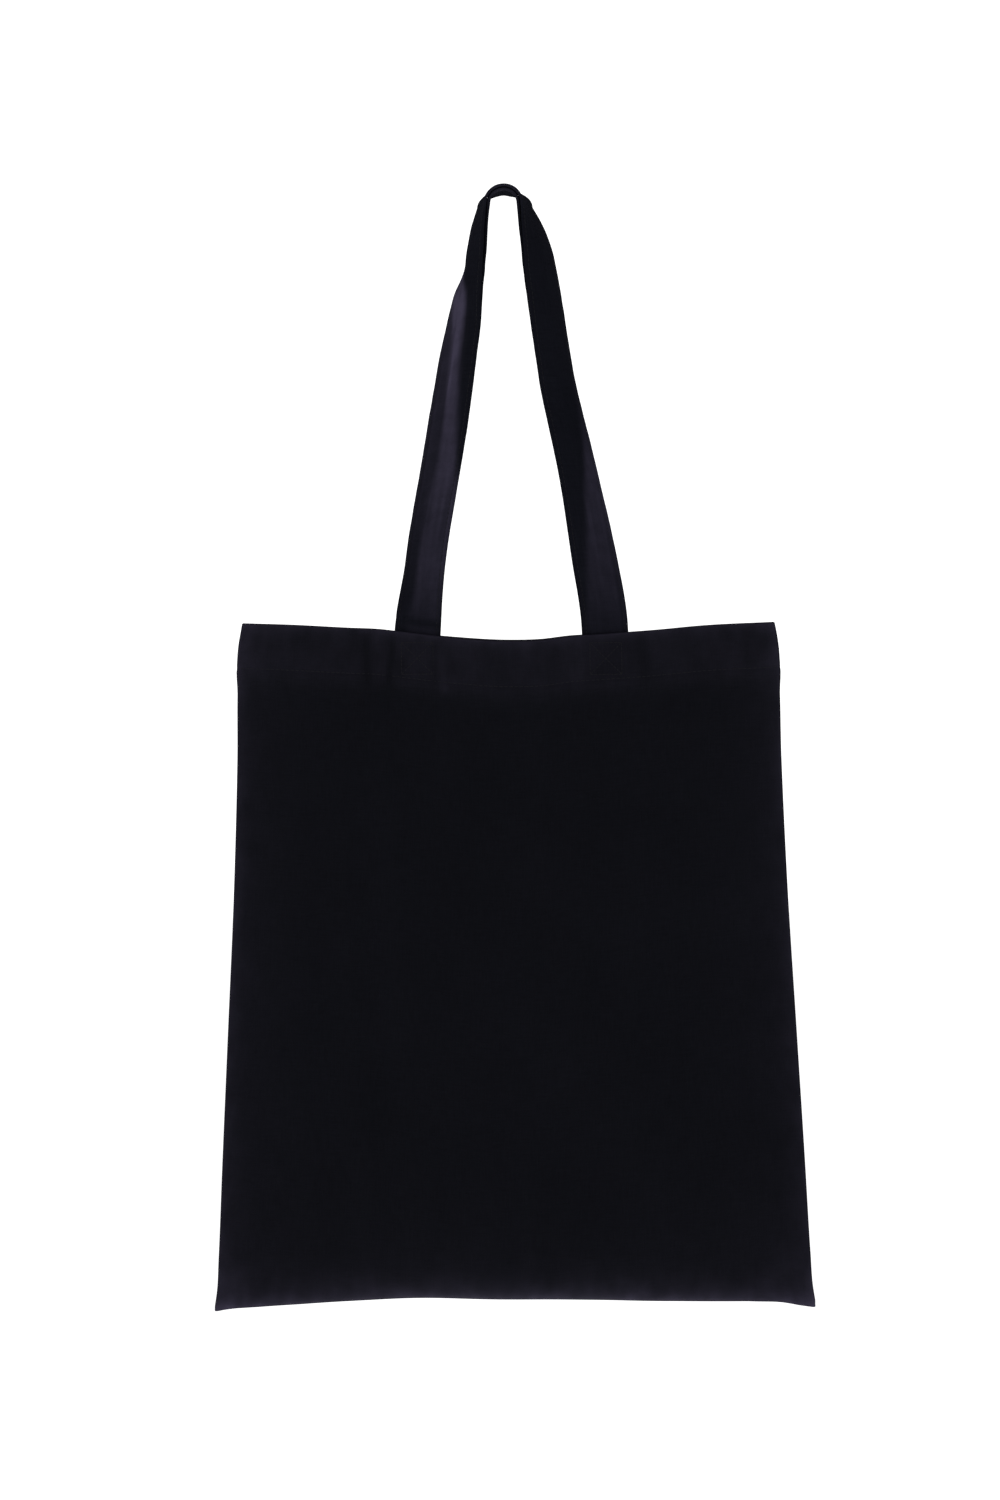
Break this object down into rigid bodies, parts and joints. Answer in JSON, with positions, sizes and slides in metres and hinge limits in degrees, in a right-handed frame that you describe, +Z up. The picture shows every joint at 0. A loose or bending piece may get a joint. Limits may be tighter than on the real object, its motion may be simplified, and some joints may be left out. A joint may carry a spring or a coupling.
{
  "type": "tote bag",
  "caption": "Flat canvas tote bag with a turned-in hem and two long folded straps, hanging empty from a round peg.",
  "frame": {"origin": "on the axis of the peg that the straps hang on, in the middle of the straps' width", "axes": "+Z up, +X across the bag, -Y towards the front of the bag; +Y runs along the peg"},
  "size_m": [0.381, 0.0458, 0.7122],
  "materials": {
    "canvas": "black plain-weave cotton canvas, matt with a faint cool sheen",
    "hem_canvas": "the same black canvas, turned in twice and pressed",
    "seam_canvas": "raw edge of the same black canvas",
    "strap_canvas": "black canvas folded lengthwise into a firm strap, with a soft sheen where it bends",
    "thread": "black twisted sewing thread"
  },
  "bodies": {
    "bag": {"front_panel": "canvas", "back_panel": "canvas", "front_hem": "hem_canvas", "back_hem": "hem_canvas", "left_seam_allowance": "seam_canvas", "right_seam_allowance": "seam_canvas", "bottom_seam_allowance": "seam_canvas", "left_overlock_thread": "thread", "right_overlock_thread": "thread", "bottom_overlock_thread": "thread", "front_hem_stitching": "thread", "back_hem_stitching": "thread", "front_left_strap_end": "strap_canvas", "front_right_strap_end": "strap_canvas", "back_left_strap_end": "strap_canvas", "back_right_strap_end": "strap_canvas", "front_left_tack": "thread", "front_right_tack": "thread", "back_left_tack": "thread", "back_right_tack": "thread"},
    "front_strap": {"front_strap": "strap_canvas", "front_strap_stitching": "thread"},
    "back_strap": {"back_strap": "strap_canvas", "back_strap_stitching": "thread"}
  },
  "joints": [
    {"name": "front_strap_swing", "type": "hinge", "parent": "bag", "child": "front_strap", "pos_m": [0, -0.01494, -0.272], "axis": [1, 0, 0], "range_deg": [0, 170]},
    {"name": "back_strap_swing", "type": "hinge", "parent": "bag", "child": "back_strap", "pos_m": [0, 0.01494, -0.2702], "axis": [-1, 0, 0], "range_deg": [0, 170]}
  ]
}
